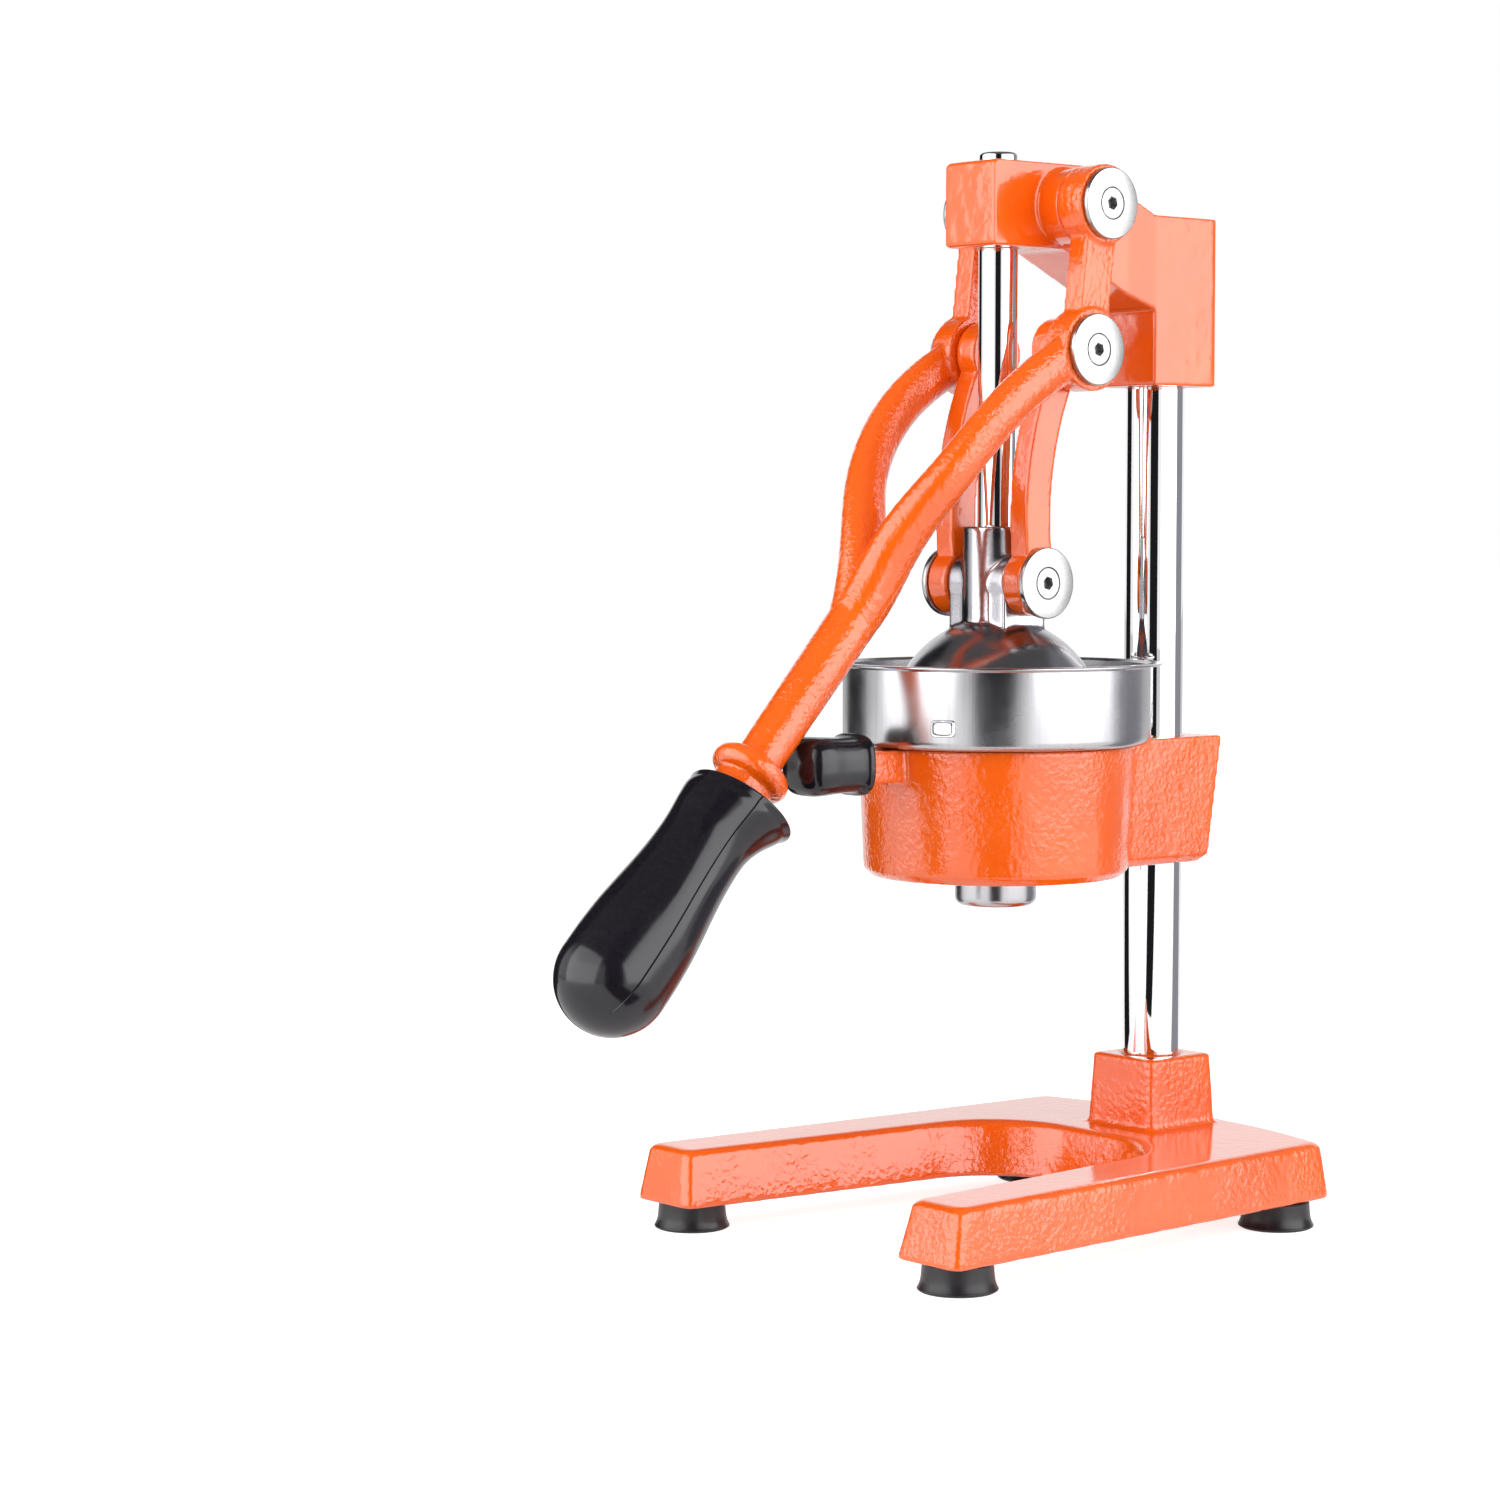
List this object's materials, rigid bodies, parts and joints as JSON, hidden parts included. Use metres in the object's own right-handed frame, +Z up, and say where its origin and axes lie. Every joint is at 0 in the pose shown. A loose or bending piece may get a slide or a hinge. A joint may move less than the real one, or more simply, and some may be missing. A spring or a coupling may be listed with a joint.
{
  "type": "citrus press juicer",
  "caption": "Hand lever citrus press: a forked lever and two links drive a sliding dome down into a steel cup held on a column over a U-shaped base.",
  "frame": {"origin": "middle of the whole outline at table level, lever down", "axes": "+Z up, -Y towards the user who pulls the lever, +X to the right seen from behind the lever"},
  "size_m": [0.1794, 0.3166, 0.4036],
  "materials": {
    "painted_base": "glossy orange powder-like enamel over a hammered casting",
    "painted_head": "glossy orange enamel over a smoother casting",
    "painted_lever": "glossy orange enamel over a rough casting",
    "painted_link": "glossy orange enamel",
    "painted_carrier": "glossy orange enamel over a coarse hammered casting",
    "chrome_bar": "polished chrome plate",
    "cast_press": "polished cast aluminium",
    "steel_sheet": "drawn stainless sheet, brushed round",
    "steel_disc": "bright turned steel",
    "steel_screw": "bright steel screw",
    "steel_pin": "ground steel",
    "bronze_bush": "sintered bronze",
    "black_grip": "glossy black moulded plastic",
    "black_rubber": "matt black rubber"
  },
  "bodies": {
    "root": {"base_casting": "painted_base", "foot_front_left": "black_rubber", "foot_front_right": "black_rubber", "foot_rear_left": "black_rubber", "foot_rear_right": "black_rubber", "foot_screws": "steel_screw", "column": "chrome_bar", "column_bolt": "steel_screw", "column_washer": "steel_screw", "head_casting": "painted_head", "guide_bush": "bronze_bush", "head_set_screws": "steel_screw", "fulcrum_axle": "steel_pin", "fulcrum_disc_left": "steel_disc", "fulcrum_disc_right": "steel_disc", "fulcrum_screw_left": "steel_screw", "fulcrum_screw_right": "steel_screw", "bowl_carrier": "painted_carrier", "carrier_set_screw": "steel_screw", "steady_grip": "black_grip", "juice_cup": "steel_sheet", "strainer": "steel_sheet"},
    "lever": {"lever_casting": "painted_lever", "lever_bush_left": "bronze_bush", "lever_bush_right": "bronze_bush", "crank_pin_left": "steel_pin", "crank_pin_right": "steel_pin", "crank_disc_left": "steel_disc", "crank_disc_right": "steel_disc", "crank_screw_left": "steel_screw", "crank_screw_right": "steel_screw", "main_grip": "black_grip"},
    "press": {"press_rod": "chrome_bar", "press_cup": "cast_press", "lug_pin_left": "steel_pin", "lug_pin_right": "steel_pin", "lug_disc_left": "steel_disc", "lug_disc_right": "steel_disc", "lug_screw_left": "steel_screw", "lug_screw_right": "steel_screw"},
    "link_left": {"link_left": "painted_link", "link_bush_left": "bronze_bush", "link_pin_left": "steel_pin"},
    "link_right": {"link_right": "painted_link", "link_bush_right": "bronze_bush", "link_pin_right": "steel_pin"}
  },
  "joints": [
    {"name": "lever_hinge", "type": "hinge", "parent": "root", "child": "lever", "pos_m": [0, 0.0647, 0.3837], "axis": [-1, 0, 0], "range_deg": [0, 105]},
    {"name": "press_slide", "type": "slide", "parent": "root", "child": "press", "axis": [0, 0, 1], "range_m": [0, 0.0778]},
    {"name": "link_left_hinge", "type": "hinge", "parent": "press", "child": "link_left", "pos_m": [0, 0.0438, 0.24415], "axis": [1, 0, 0], "range_deg": [0, 29.14]},
    {"name": "link_right_hinge", "type": "hinge", "parent": "press", "child": "link_right", "pos_m": [0, 0.0438, 0.24415], "axis": [1, 0, 0], "range_deg": [0, 29.14]}
  ],
  "couplings": [
    {"joint": "press_slide", "follows": "lever_hinge", "m_per_rad": 0.042456},
    {"joint": "link_left_hinge", "follows": "lever_hinge", "ratio": 0.27755},
    {"joint": "link_right_hinge", "follows": "lever_hinge", "ratio": 0.27755}
  ]
}
